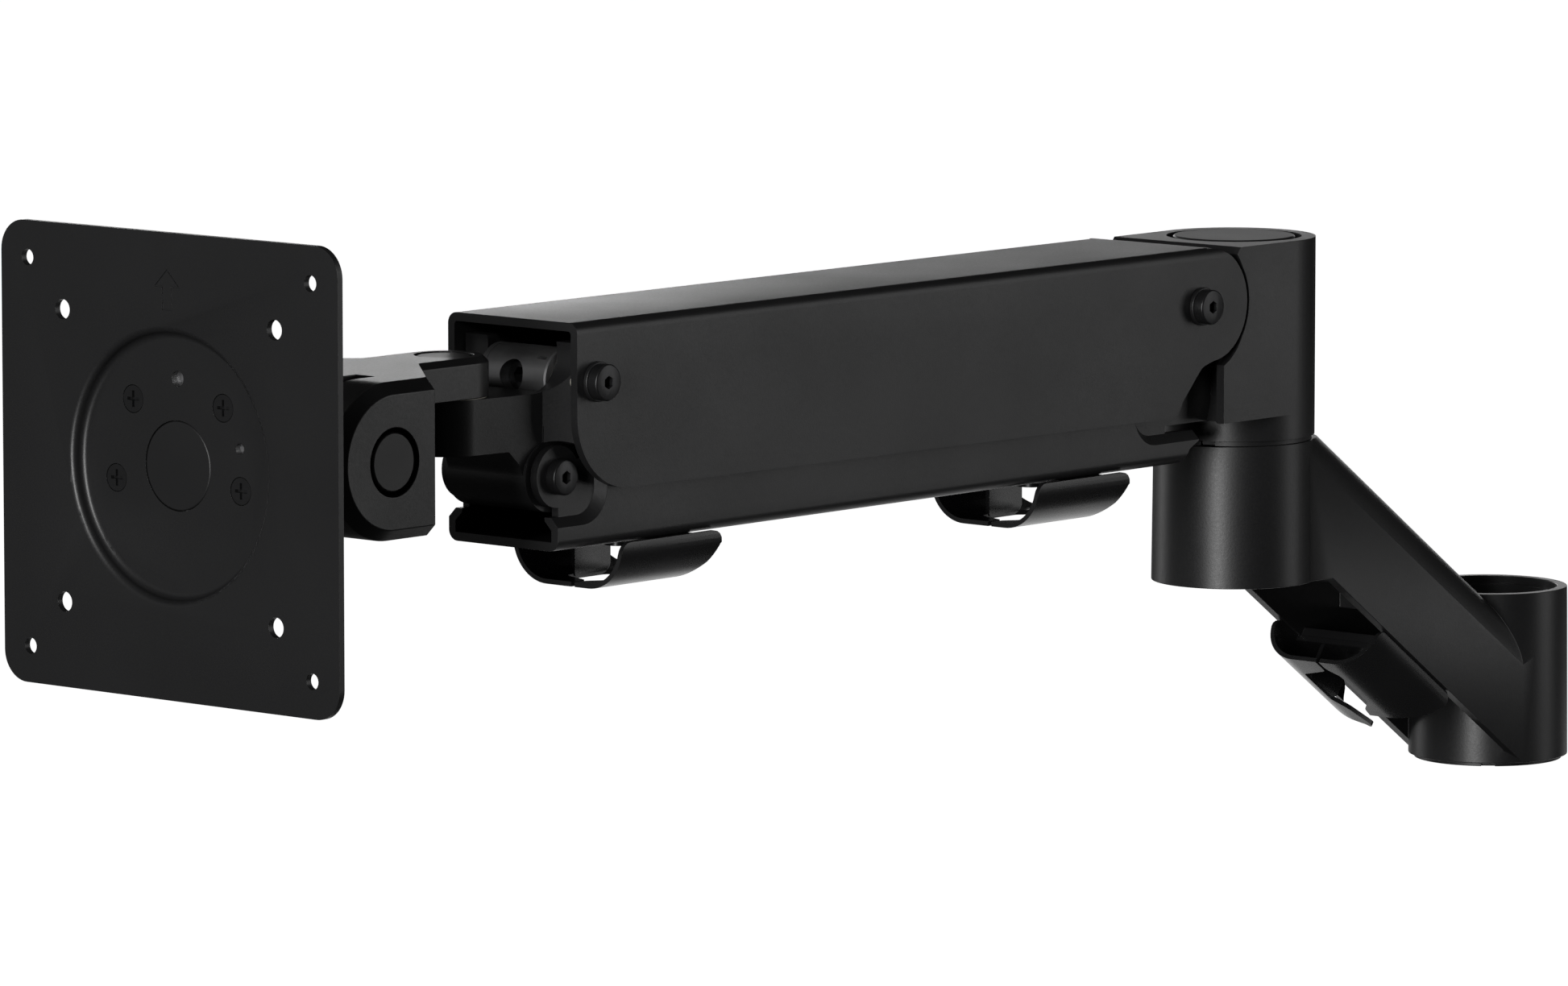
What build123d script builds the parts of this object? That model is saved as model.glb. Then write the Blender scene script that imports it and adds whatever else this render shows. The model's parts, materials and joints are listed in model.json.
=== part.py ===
"""Spring-balanced monitor arm that drops over a desk pole, millimetres.

Frame: origin on the axis of the pole bore, at the lowest face of its liner.
+Z is up the pole, +X points along the arm to the monitor, +Y is the near side.
The arm stands level, straight out over its link, with the plate upright.
"""

import os
from math import cos, hypot, radians, sin

from build123d import *

# ---- Pole sleeve, link and swivel ----
POLE_BORE_RADIUS = 17.6
LINER_WALL = 2.15
LINK_SPAN = 118.9
SLEEVE_RADIUS = 23.0
SLEEVE_DRAFT = 0.45
FLANGE_HEIGHT = 1.1
POLE_SLEEVE_TOP = 50.5
SWIVEL_SLEEVE_BOTTOM = 63.8
SWIVEL_SLEEVE_TOP = 104.1
SWIVEL_BEARING_RADIUS = 15.2
SHAFT_RADIUS = 12.0
RUNNING_CLEARANCE = 0.05

# ---- Sloping beam between the two sleeves ----
BEAM_SLOPE = 35.0
BEAM_HALF_WIDTH = 20.6
BEAM_DEPTH = 35.0
BEAM_CORNER = 13.0
BEAM_WALL = 3.2
BEAM_TOP_X = 82.2
BEAM_TOP_Z = 94.6

# ---- Base housing over the swivel ----
HOUSING_BOTTOM = 105.6
HOUSING_TOP = 161.6
CHEEK_BOTTOM = 112.6
CHEEK_FRONT = 151.3
CHEEK_HALF_WIDTH = 22.9
CAP_RECESS_RADIUS = 19.1
CAP_RADIUS = 17.2

# ---- Parallelogram of the arm ----
PIVOT_SPAN = 248.8
UPPER_REAR = (161.6, 146.4)
LOWER_REAR = (170.0, 121.7)
UPPER_FRONT = (UPPER_REAR[0] + PIVOT_SPAN, UPPER_REAR[1])
LOWER_FRONT = (LOWER_REAR[0] + PIVOT_SPAN, LOWER_REAR[1])
PIN_RADIUS = 4.0
LOWER_REAR_PIN_RADIUS = 3.5
SCREW_RADIUS = 2.5
SCREW_HEX = 1.75
BUSHING_RADIUS = 5.5

# ---- Upper channel, open below ----
UPPER_HALF_WIDTH = 23.0
UPPER_WALL = 2.3
UPPER_TOP = 162.15
UPPER_FRONT_END = 417.9
UPPER_BOTTOM_FRONT = 117.7
UPPER_BOTTOM_REAR = 116.1
REAR_ARC_X = 157.1
REAR_ARC_RADIUS = 15.75
REAR_ARC_GAP = 1.1
SWEPT_ARC_GAP = 0.5
LIFT_LIMIT = 35.0

# ---- Lower channel, open above, nested in the upper one ----
LOWER_HALF_WIDTH = 19.5
LOWER_WALL = 2.4
LOWER_BOTTOM = 102.3
LOWER_WALL_TOP = 125.7
LOWER_FRONT_END = 421.6
LOWER_REAR_END = 158.0
POCKET_BOTTOM = 111.1
POCKET_REACH = 13.8
POCKET_SKIN = 1.0
EAR_OUTER = 17.0
EAR_INNER = 14.7
EAR_RADIUS = 8.2

# ---- Head: pan axis, tilt axis, plate ----
PAN_X = 443.9
TILT_X = 500.4
HEAD_Z = 134.3
HEAD_HALF_HEIGHT = 20.3
LUG_RADIUS = 11.6
LUG_BOTTOM = 143.9
EYE_BOTTOM = 129.1
EYE_TOP = 143.6
CHEEK_OUTER = 36.0
CHEEK_INNER = 22.0
PRONG_HALF_WIDTH = 15.5
PLATE_FRONT = 545.4
PLATE_SIZE = 119.0
PLATE_CORNER = 8.0
PLATE_THICKNESS = 1.8
DISH_RADIUS = 35.8
DISH_DEPTH = 3.5
WIDE_PATTERN = 100.0
WIDE_HOLE_RADIUS = 2.1
NARROW_PATTERN = 75.0
NARROW_HOLE_RADIUS = 2.6

# ---- Swivel shaft stack, from below ----
RETAINING_HEAD_BOTTOM = 64.0
RETAINING_HEAD_RADIUS = 6.5
RETAINING_SCREW_RADIUS = 4.0
RETAINING_SCREW_TOP = 90.0
RETAINER_BOTTOM = 66.7
RETAINER_TOP = 68.7
RETAINER_RADIUS = 15.5
SHAFT_SEAT = 150.0
SHAFT_HEAD_TOP = 153.0
CAP_STEP = 159.2

# ---- Tongue and hub that carry the rear pivots ----
TONGUE_ROOT_X = 132.0
TONGUE_RADIUS = 13.0
TONGUE_BOTTOM = 133.4
TONGUE_TOP = 146.9
TONGUE_HALF_WIDTH = 20.2
HUB_RADIUS = 9.0
HUB_HALF_WIDTH = 14.4
EAR_SWEEP_RADIUS = 23.4
EYE_SLOT_RADIUS = 17.6

# ---- End bracket ----
UPPER_EAR_RADIUS = 8.4
SIDE_INNER = 12.3
SIDE_OUTER = 20.3
NECK_X = 421.5
NECK_HALF_WIDTH = 14.0
LOWER_HUB_HALF_WIDTH = 14.2

# ---- Bolts, nuts and seats of the head ----
HEX_5_MM = 5.0
HEX_6_MM = 6.0
BOLT_HEAD_RADIUS = 6.6
NUT_HALF_WIDTH = 6.5
PAN_BOLT_RADIUS = 5.0
PAN_BUSHING_RADIUS = 6.5
PAN_BUSHING_BOTTOM = 134.2
PAN_RECESS_RADIUS = 8.2
PAN_NUT_TOP = 133.4
PAN_SEAT = 149.0
PAN_HEAD_TOP = 152.4
TILT_SEAT = 28.5
TILT_HEAD_TOP = 32.5
CHEEK_ROOT_X = 485.4
CHEEK_ROOT_HALF_WIDTH = 33.0
FLANGE_REAR = 525.0
FLANGE_FRONT = 531.0
FLANGE_RADIUS = 27.0
NUT_FRONT = 529.0
AXLE_RADIUS = 4.0
AXLE_WASHER_REAR = 535.2
AXLE_SEAT = 536.4
AXLE_HEAD_FRONT = 539.8
PLATE_SCREW_CIRCLE = 22.5
PLATE_SCREW_ANGLES = (45, 135, 192, 348)
DISC_REAR = 532.2
FLOOR_REAR = PLATE_FRONT - DISH_DEPTH - PLATE_THICKNESS
FLOOR_FRONT = PLATE_FRONT - DISH_DEPTH

# ---- Gas spring between the lower rear and the upper front pivots ----
SPRING_SPAN = hypot(UPPER_FRONT[0] - LOWER_REAR[0], UPPER_FRONT[1] - LOWER_REAR[1])
SPRING_COS = (UPPER_FRONT[0] - LOWER_REAR[0]) / SPRING_SPAN
SPRING_SIN = (UPPER_FRONT[1] - LOWER_REAR[1]) / SPRING_SPAN
SPRING_RADIUS = 11.0
SPRING_REAR = 62.0
SPRING_FRONT = 205.0
ROD_RADIUS = 4.0
EYE_SLOT_HALF_WIDTH = 5.6
EYE_SLOT_TRAVEL = 8.2
EYE_WALL = 2.6

# ---- Cable clips ----
CLIP_HALF_WIDTH = 19.5
CLIP_HEIGHT = 13.0
CLIP_WALL = 1.3
CLIP_LENGTH = 39.5
CLIP_CORNER = 12.0
FRONT_CLIP_X = 396.9
REAR_CLIP_X = 227.5
LINK_CLIP_ALONG = 33.0


# ---- Shape helpers ----
def rod_x(radius, x_low, x_high, y, z):
    """Round bar along X."""
    middle = (x_low + x_high) / 2
    return Pos(middle, y, z) * Rot(0, 90, 0) * Cylinder(radius, x_high - x_low)


def rod_y(radius, y_low, y_high, place):
    """Round bar along Y, at a place given as (x, z)."""
    middle = (y_low + y_high) / 2
    return Pos(place[0], middle, place[1]) * Rot(90, 0, 0) * Cylinder(radius, y_high - y_low)


def rod_z(radius, z_low, z_high, x=0.0, y=0.0):
    """Round bar along Z."""
    return Pos(x, y, (z_low + z_high) / 2) * Cylinder(radius, z_high - z_low)


def block(x_low, x_high, y_low, y_high, z_low, z_high):
    """Box given by its two corners."""
    middle = Pos((x_low + x_high) / 2, (y_low + y_high) / 2, (z_low + z_high) / 2)
    return middle * Box(x_high - x_low, y_high - y_low, z_high - z_low)


def side_disc(radius, place):
    """Disc in the side view (XZ plane) at (x, z)."""
    return Plane.XZ * (Pos(place[0], place[1], 0) * Circle(radius))


def side_polygon(*points):
    """Polygon in the side view (XZ plane)."""
    return Plane.XZ * make_face(Polyline(*points, close=True))


def side_slab(face, y_low, y_high):
    """Side-view face given thickness along Y."""
    return extrude(Pos(0, y_low, 0) * face, amount=y_high - y_low, dir=(0, 1, 0))


def plan_slab(points, z_low, z_high):
    """Top-view polygon given height along Z."""
    face = make_face(Polyline(*points, close=True))
    return extrude(Pos(0, 0, z_low) * face, amount=z_high - z_low)


def both_sides(solid):
    """A solid and its mirror image across the arm's middle plane."""
    return solid + mirror(solid, about=Plane.XZ)


def hexagon_x(flat_radius, x_low, x_high, y, z):
    """Hexagonal bar along X."""
    shape = extrude(RegularPolygon(flat_radius, 6, major_radius=False), amount=x_high - x_low)
    return Pos(x_low, y, z) * Rot(0, 90, 0) * shape


def hexagon_y(flat_radius, y_low, y_high, place):
    """Hexagonal bar along Y."""
    shape = extrude(RegularPolygon(flat_radius, 6, major_radius=False), amount=y_high - y_low)
    return Pos(place[0], y_high, place[1]) * Rot(90, 0, 0) * shape


def hexagon_z(flat_radius, z_low, z_high, x):
    """Hexagonal bar along Z."""
    shape = extrude(RegularPolygon(flat_radius, 6, major_radius=False), amount=z_high - z_low)
    return Pos(x, 0, z_low) * shape


def on_spring(solid):
    """Places a solid made along +Z from zero onto the spring line from its rear eye."""
    line = Plane(
        origin=(LOWER_REAR[0], 0, LOWER_REAR[1]),
        x_dir=(0, 1, 0),
        z_dir=(SPRING_COS, 0, SPRING_SIN),
    )
    return line * solid


def on_beam(solid):
    """Places a solid onto the beam: +Z runs down the slope, +Y is square down from the crown."""
    slope = radians(BEAM_SLOPE)
    crown = Plane(
        origin=(BEAM_TOP_X, 0, BEAM_TOP_Z),
        x_dir=(0, 1, 0),
        z_dir=(-cos(slope), 0, -sin(slope)),
    )
    return crown * solid


# ---- Link ----
def beam_bar(half_width, depth_low, depth_high, corner):
    """Bar along the slope with its two upper long edges rounded."""
    reach = 175.0
    start = -45.0
    depth = depth_high - depth_low
    section = Pos(0, (depth_low + depth_high) / 2) * Rectangle(2 * half_width, depth)
    upper = section.vertices().group_by(Axis.Y)[0]
    section = fillet(upper, corner)
    return on_beam(extrude(Pos(0, 0, start) * section, amount=reach))


def tapered_sleeve(x, z_low, z_high, radius_low):
    """Cast sleeve that narrows slightly upwards."""
    radius_high = radius_low - SLEEVE_DRAFT
    height = z_high - z_low
    return Pos(x, 0, (z_low + z_high) / 2) * Cone(radius_low, radius_high, height)


def link_casting():
    """Two sleeves joined by a hollow sloping beam that is open below."""
    knee = side_polygon((LINK_SPAN, SWIVEL_SLEEVE_BOTTOM), (99.0, SWIVEL_SLEEVE_BOTTOM), (92.0, 61.5),
                        (86.0, 75.0), (LINK_SPAN, 88.0))
    outside = beam_bar(BEAM_HALF_WIDTH, 0, BEAM_DEPTH, BEAM_CORNER)
    outside += side_slab(knee, -BEAM_HALF_WIDTH, BEAM_HALF_WIDTH)
    outside &= block(0, LINK_SPAN, -30, 30, FLANGE_HEIGHT, SWIVEL_SLEEVE_TOP)
    inner_half = BEAM_HALF_WIDTH - BEAM_WALL
    hollow = beam_bar(inner_half, BEAM_WALL, BEAM_DEPTH + 20, BEAM_CORNER - BEAM_WALL)
    rib_face = Rectangle(2 * BEAM_HALF_WIDTH, 26)
    for rib_x in (86.0, 73.0, 60.0, 47.0):
        crown_z = BEAM_TOP_Z - (BEAM_TOP_X - rib_x) * sin(radians(BEAM_SLOPE)) / cos(radians(BEAM_SLOPE))
        hollow -= Pos(rib_x, 0, crown_z - 10) * Rot(0, 90, 0) * Pos(0, 0, -1) * extrude(
            Rot(0, 0, 90) * rib_face, amount=2)
    casting = outside - hollow
    casting += tapered_sleeve(LINK_SPAN, SWIVEL_SLEEVE_BOTTOM, SWIVEL_SLEEVE_TOP, SLEEVE_RADIUS)
    casting += tapered_sleeve(0, FLANGE_HEIGHT, POLE_SLEEVE_TOP, SLEEVE_RADIUS + 0.2)
    casting -= block(-30, 30, -30, 30, POLE_SLEEVE_TOP, 70) & rod_z(19, POLE_SLEEVE_TOP, 70)
    casting -= rod_z(POLE_BORE_RADIUS + LINER_WALL, 0, 70)
    casting -= rod_z(SWIVEL_BEARING_RADIUS, 73, 110, LINK_SPAN)
    casting -= rod_z(SHAFT_RADIUS + 0.6, 60, 110, LINK_SPAN)
    casting -= rod_z(17.0, 60, 69, LINK_SPAN)
    return casting


def pole_liner():
    """Plastic sleeve in the pole bore, with a notched flange below."""
    liner = rod_z(POLE_BORE_RADIUS + LINER_WALL, 0, POLE_SLEEVE_TOP - 2.2)
    liner += rod_z(21.5, 0, FLANGE_HEIGHT)
    liner -= rod_z(POLE_BORE_RADIUS, -1, 60)
    for turn in range(4):
        liner -= Rot(0, 0, 38 + 90 * turn) * block(20.3, 23, -2, 2, -1, 0.7)
    return liner


def swivel_bushing_upper():
    """Flanged bushing; its flange is the thrust ring seen in the swivel gap."""
    bushing = rod_z(SWIVEL_BEARING_RADIUS, 88, SWIVEL_SLEEVE_TOP, LINK_SPAN)
    bushing += rod_z(22.2, SWIVEL_SLEEVE_TOP, HOUSING_BOTTOM, LINK_SPAN)
    bushing -= rod_z(SHAFT_RADIUS + RUNNING_CLEARANCE, 80, 110, LINK_SPAN)
    notch = Pos(LINK_SPAN, 0, 0) * Rot(0, 0, 20) * block(20.5, 23, -2, 2, SWIVEL_SLEEVE_TOP, HOUSING_BOTTOM)
    return bushing - notch


def swivel_bushing_lower():
    """Plain bushing on the sleeve's inner shoulder."""
    bushing = rod_z(SWIVEL_BEARING_RADIUS, 73, 86, LINK_SPAN)
    return bushing - rod_z(SHAFT_RADIUS + RUNNING_CLEARANCE, 70, 90, LINK_SPAN)


# ---- Base housing and swivel shaft ----
def base_housing():
    """Swivel collar with two cheeks behind the channel and a tongue inside it."""
    collar = rod_z(SLEEVE_RADIUS, HOUSING_BOTTOM, HOUSING_TOP, LINK_SPAN)
    cheeks = side_polygon((LINK_SPAN, CHEEK_BOTTOM), (CHEEK_FRONT, CHEEK_BOTTOM), (CHEEK_FRONT, 158.9),
                          (146.3, 158.9), (144.2, HOUSING_TOP), (LINK_SPAN, HOUSING_TOP))
    cheeks -= side_disc(REAR_ARC_RADIUS + REAR_ARC_GAP, (REAR_ARC_X, UPPER_REAR[1]))
    for lift in (-LIFT_LIMIT, -LIFT_LIMIT / 2, LIFT_LIMIT / 2, LIFT_LIMIT):
        offset_x = (UPPER_REAR[0] - REAR_ARC_X) * cos(radians(lift))
        offset_z = (UPPER_REAR[0] - REAR_ARC_X) * sin(radians(lift))
        swept = (UPPER_REAR[0] - offset_x, UPPER_REAR[1] - offset_z)
        cheeks -= side_disc(REAR_ARC_RADIUS + SWEPT_ARC_GAP, swept)
    housing = collar + side_slab(cheeks, -CHEEK_HALF_WIDTH, CHEEK_HALF_WIDTH)
    tongue = side_disc(TONGUE_RADIUS, UPPER_REAR)
    tongue += side_polygon((TONGUE_ROOT_X, TONGUE_BOTTOM), (UPPER_REAR[0], TONGUE_BOTTOM),
                           (UPPER_REAR[0], TONGUE_TOP), (TONGUE_ROOT_X, TONGUE_TOP))
    housing += side_slab(tongue, -TONGUE_HALF_WIDTH, TONGUE_HALF_WIDTH)
    relief = side_disc(EAR_SWEEP_RADIUS, LOWER_REAR)
    relief &= side_polygon((140, 100), (200, 100), (200, TONGUE_BOTTOM), (140, TONGUE_BOTTOM))
    housing -= both_sides(side_slab(relief, HUB_HALF_WIDTH, TONGUE_HALF_WIDTH))
    lower = side_disc(HUB_RADIUS, LOWER_REAR)
    lower += side_polygon((TONGUE_ROOT_X, CHEEK_BOTTOM), (LOWER_REAR[0], LOWER_REAR[1] - HUB_RADIUS),
                          (LOWER_REAR[0] + 8, 126), (171, 139), (TONGUE_ROOT_X, 139))
    housing += side_slab(lower, -HUB_HALF_WIDTH, HUB_HALF_WIDTH)
    housing -= side_slab(side_disc(EYE_SLOT_RADIUS, LOWER_REAR), -EYE_SLOT_HALF_WIDTH, EYE_SLOT_HALF_WIDTH)
    housing -= rod_y(BUSHING_RADIUS, -25, 25, UPPER_REAR)
    housing -= rod_y(BUSHING_RADIUS, -20, 20, LOWER_REAR)
    housing -= rod_z(SHAFT_RADIUS, HOUSING_BOTTOM - 5, SHAFT_SEAT, LINK_SPAN)
    housing -= rod_z(CAP_RECESS_RADIUS, SHAFT_SEAT, HOUSING_TOP + 5, LINK_SPAN)
    return housing


def swivel_shaft():
    """Steel shaft fixed in the housing; it turns in the link's bushings."""
    shaft = rod_z(SHAFT_RADIUS, RETAINER_TOP, SHAFT_SEAT, LINK_SPAN)
    shaft += rod_z(SHAFT_RADIUS + 3, SHAFT_SEAT, SHAFT_HEAD_TOP, LINK_SPAN)
    return shaft - rod_z(RETAINING_SCREW_RADIUS, 60, RETAINING_SCREW_TOP + 2, LINK_SPAN)


def swivel_retainer():
    """Large washer under the shaft that keeps the arm on the link."""
    disc = rod_z(RETAINER_RADIUS, RETAINER_BOTTOM, RETAINER_TOP, LINK_SPAN)
    return disc - rod_z(RETAINING_SCREW_RADIUS, 60, 70, LINK_SPAN)


def swivel_retaining_screw():
    """Socket screw up into the shaft."""
    screw = rod_z(RETAINING_SCREW_RADIUS, RETAINER_BOTTOM, RETAINING_SCREW_TOP, LINK_SPAN)
    screw += rod_z(RETAINING_HEAD_RADIUS, RETAINING_HEAD_BOTTOM, RETAINER_BOTTOM, LINK_SPAN)
    return screw - hexagon_z(HEX_5_MM / 2, RETAINING_HEAD_BOTTOM - 1, RETAINING_HEAD_BOTTOM + 1.6, LINK_SPAN)


def base_cap():
    """Round cap over the shaft's head, set in a ring groove."""
    cap = rod_z(CAP_RADIUS, CAP_STEP, HOUSING_TOP + 0.2, LINK_SPAN)
    cap = chamfer(cap.edges().group_by(Axis.Z)[-1], 0.4)
    return cap + rod_z(CAP_RECESS_RADIUS - RUNNING_CLEARANCE, SHAFT_HEAD_TOP, CAP_STEP, LINK_SPAN)


def pivot_bushings(place, inner, y_low, y_high):
    """A bushing on each side of the middle plane."""
    ring = rod_y(BUSHING_RADIUS, y_low, y_high, place) - rod_y(inner, y_low - 1, y_high + 1, place)
    return both_sides(ring)


# ---- Arm channels ----
def upper_channel():
    """Inverted channel: two side plates and a roof in one pressing."""
    outline = side_polygon((REAR_ARC_X, UPPER_TOP), (UPPER_FRONT_END, UPPER_TOP),
                           (UPPER_FRONT_END, UPPER_BOTTOM_FRONT), (173.5, UPPER_BOTTOM_REAR),
                           (161.0, 129.3), (149.2, 132.6), (REAR_ARC_X, UPPER_REAR[1]))
    corners = outline.vertices()
    front_corner = corners.sort_by_distance((UPPER_FRONT_END, 0, UPPER_BOTTOM_FRONT))[0]
    outline = fillet(front_corner, 20.0)
    rear_corner = outline.vertices().sort_by_distance((173.5, 0, UPPER_BOTTOM_REAR))[0]
    outline = fillet(rear_corner, 7.0)
    hook_corner = outline.vertices().sort_by_distance((161.0, 0, 129.3))[0]
    outline = fillet(hook_corner, 5.0)
    outline += side_disc(REAR_ARC_RADIUS, (REAR_ARC_X, UPPER_REAR[1]))
    outside = side_slab(outline, -UPPER_HALF_WIDTH, UPPER_HALF_WIDTH)
    section = Rectangle(2 * UPPER_HALF_WIDTH, 80)
    section = fillet(section.vertices().group_by(Axis.Y)[-1], 3.0)
    envelope = Plane.YZ * (Pos(0, UPPER_TOP - 40, 0) * section)
    outside &= extrude(envelope, amount=500)
    inner_half = UPPER_HALF_WIDTH - UPPER_WALL
    hollow = Rectangle(2 * inner_half, 80)
    hollow = fillet(hollow.vertices().group_by(Axis.Y)[-1], 1.0)
    hollow = Plane.YZ * (Pos(0, UPPER_TOP - UPPER_WALL - 40, 0) * hollow)
    channel = outside - extrude(hollow, amount=500)
    arc_centre = (REAR_ARC_X, UPPER_REAR[1])
    curl = side_disc(REAR_ARC_RADIUS, arc_centre) - side_disc(REAR_ARC_RADIUS - UPPER_WALL, arc_centre)
    curl &= side_polygon(arc_centre, (REAR_ARC_X, 170), (REAR_ARC_X - 16.5, 170))
    channel -= block(100, REAR_ARC_X, -inner_half, inner_half, 100, 170)
    channel += side_slab(curl, -inner_half - 0.5, inner_half + 0.5)
    for place in (UPPER_FRONT, UPPER_REAR):
        channel -= rod_y(SCREW_RADIUS, -30, 30, place)
    return channel


def pocket(toward, place, margin):
    """Side-view region pressed inwards around a lower pivot; toward is +1 in front, -1 at the rear."""
    inboard = place[0] - toward * (POCKET_REACH + margin)
    outboard = place[0] + toward * 30
    low = POCKET_BOTTOM - margin
    face = side_polygon((inboard, low), (outboard, low), (outboard, 140), (inboard, 140))
    corner = face.vertices().sort_by_distance((inboard, 0, low))[0]
    return fillet(corner, 7.0 + margin)


def pressed(face, y_low, depth):
    """Side-view face pressed outwards from y_low, with walls that slope at 45 degrees."""
    return extrude(Pos(0, y_low, 0) * face, amount=depth, dir=(0, 1, 0), taper=-45.0)


def lower_channel():
    """Channel open above, with pressed-in ears at the four lower pivots."""
    outline = side_polygon((LOWER_REAR_END, LOWER_BOTTOM), (LOWER_FRONT_END, LOWER_BOTTOM),
                           (LOWER_FRONT_END, LOWER_WALL_TOP), (LOWER_REAR_END, LOWER_WALL_TOP))
    outside = side_slab(outline, -LOWER_HALF_WIDTH, LOWER_HALF_WIDTH)
    lower_edges = outside.edges().filter_by(Axis.X).group_by(Axis.Z)[0]
    outside = fillet(lower_edges, 3.0)
    rear_corner = side_polygon((LOWER_REAR_END - 1, LOWER_BOTTOM - 1), (LOWER_REAR_END + 7.5, LOWER_BOTTOM - 1),
                               (LOWER_REAR_END + 4.0, LOWER_BOTTOM + 4.0),
                               (LOWER_REAR_END - 1, LOWER_BOTTOM + 6.5))
    outside -= side_slab(rear_corner, -30, 30)
    inner_half = LOWER_HALF_WIDTH - LOWER_WALL
    channel = outside - block(100, 500, -inner_half, inner_half, LOWER_BOTTOM + LOWER_WALL, 140)
    limits = block(LOWER_REAR_END, LOWER_FRONT_END, -LOWER_HALF_WIDTH, LOWER_HALF_WIDTH,
                   LOWER_BOTTOM + 1.0, LOWER_WALL_TOP)
    for toward, place in ((1, LOWER_FRONT), (-1, LOWER_REAR)):
        recess = pressed(pocket(toward, place, 0), EAR_OUTER, 8.0)
        bulge = pressed(pocket(toward, place, POCKET_SKIN), EAR_INNER, inner_half + 0.6 - EAR_INNER)
        ear = side_slab(side_disc(EAR_RADIUS, place), EAR_INNER, EAR_OUTER)
        beyond = side_polygon((place[0], POCKET_BOTTOM), (place[0] + toward * 40, POCKET_BOTTOM),
                              (place[0] + toward * 40, 140), (place[0], 140))
        channel -= both_sides(recess)
        channel += both_sides((bulge & limits) - recess)
        channel += both_sides(ear)
        cleared = beyond - side_disc(EAR_RADIUS, place)
        channel -= both_sides(side_slab(cleared, EAR_INNER - 1, 25))
        channel -= rod_y(SCREW_RADIUS, -25, 25, place)
    channel -= block(100, 164.5, -inner_half, inner_half, 100, 110)
    for clip_x in (FRONT_CLIP_X, REAR_CLIP_X):
        channel -= rod_z(2.0, 95, 110, clip_x - CLIP_LENGTH / 2)
    return channel


def pivot_screws(place, y_inner, y_outer, head_radius, reach):
    """Low-head socket screw on each side."""
    screw = rod_y(head_radius, y_inner, y_outer, place)
    outer_edge = screw.edges().group_by(Axis.Y)[-1]
    screw = chamfer(outer_edge, 0.5)
    screw += rod_y(SCREW_RADIUS, y_inner - reach, y_inner, place)
    screw -= hexagon_y(SCREW_HEX, y_outer - 1.8, y_outer + 1, place)
    return both_sides(screw)


def pivot_pin(place, radius, half_length):
    """Cross pin, drilled and tapped at both ends."""
    pin = rod_y(radius, -half_length, half_length, place)
    return pin - both_sides(rod_y(SCREW_RADIUS, half_length - 10, half_length + 1, place))


def pivot_washers(place, y_low, y_high, radius):
    """Flat washer under each screw head."""
    return both_sides(rod_y(radius, y_low, y_high, place) - rod_y(SCREW_RADIUS, 0, 40, place))


# ---- Gas spring and its adjuster ----
def spring_bar(radius, low, high):
    """Round bar on the spring line between two distances from the rear eye."""
    return on_spring(Pos(0, 0, (low + high) / 2) * Cylinder(radius, high - low))


def gas_spring_cylinder():
    """Closed tube with a cavity for the piston."""
    tube = Pos(0, 0, (SPRING_REAR + SPRING_FRONT) / 2) * Cylinder(SPRING_RADIUS, SPRING_FRONT - SPRING_REAR)
    tube = fillet(tube.edges(), 1.5)
    tube = on_spring(tube)
    tube -= spring_bar(9.0, SPRING_REAR + 6, SPRING_FRONT - 6)
    return tube - spring_bar(ROD_RADIUS + RUNNING_CLEARANCE, SPRING_REAR - 1, SPRING_REAR + 7)


def spring_piston():
    """Piston on the rod's inner end."""
    return spring_bar(8.95, 100, 108) - spring_bar(ROD_RADIUS, 99, 109)


def spring_rod():
    """Polished rod from the eye into the cylinder."""
    return spring_bar(ROD_RADIUS, EYE_SLOT_HALF_WIDTH + EYE_WALL - 1.0, 108)


def spring_eye():
    """Slotted eye around the lower rear pin."""
    radius = EYE_SLOT_HALF_WIDTH + EYE_WALL
    eye = Pos(0, 0, 0) * Rot(0, 90, 0) * Cylinder(radius, 10)
    top = EYE_SLOT_TRAVEL
    eye += Pos(0, top, 0) * Rot(0, 90, 0) * Cylinder(radius, 10)
    eye += Pos(0, top / 2, 0) * Box(10, EYE_SLOT_TRAVEL, 2 * radius)
    slot = Rot(0, 90, 0) * Cylinder(EYE_SLOT_HALF_WIDTH, 12)
    slot += Pos(0, top, 0) * Rot(0, 90, 0) * Cylinder(EYE_SLOT_HALF_WIDTH, 12)
    slot += Pos(0, top / 2, 0) * Box(12, EYE_SLOT_TRAVEL, 2 * EYE_SLOT_HALF_WIDTH)
    return on_spring(eye - slot) - spring_bar(ROD_RADIUS, EYE_SLOT_HALF_WIDTH + EYE_WALL - 1.0, 30)


def adjuster_block():
    """Threaded block on the front of the gas spring."""
    body = spring_bar(7.0, SPRING_FRONT, 221)
    return body - spring_bar(3.0 + RUNNING_CLEARANCE, 211, 230)


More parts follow.
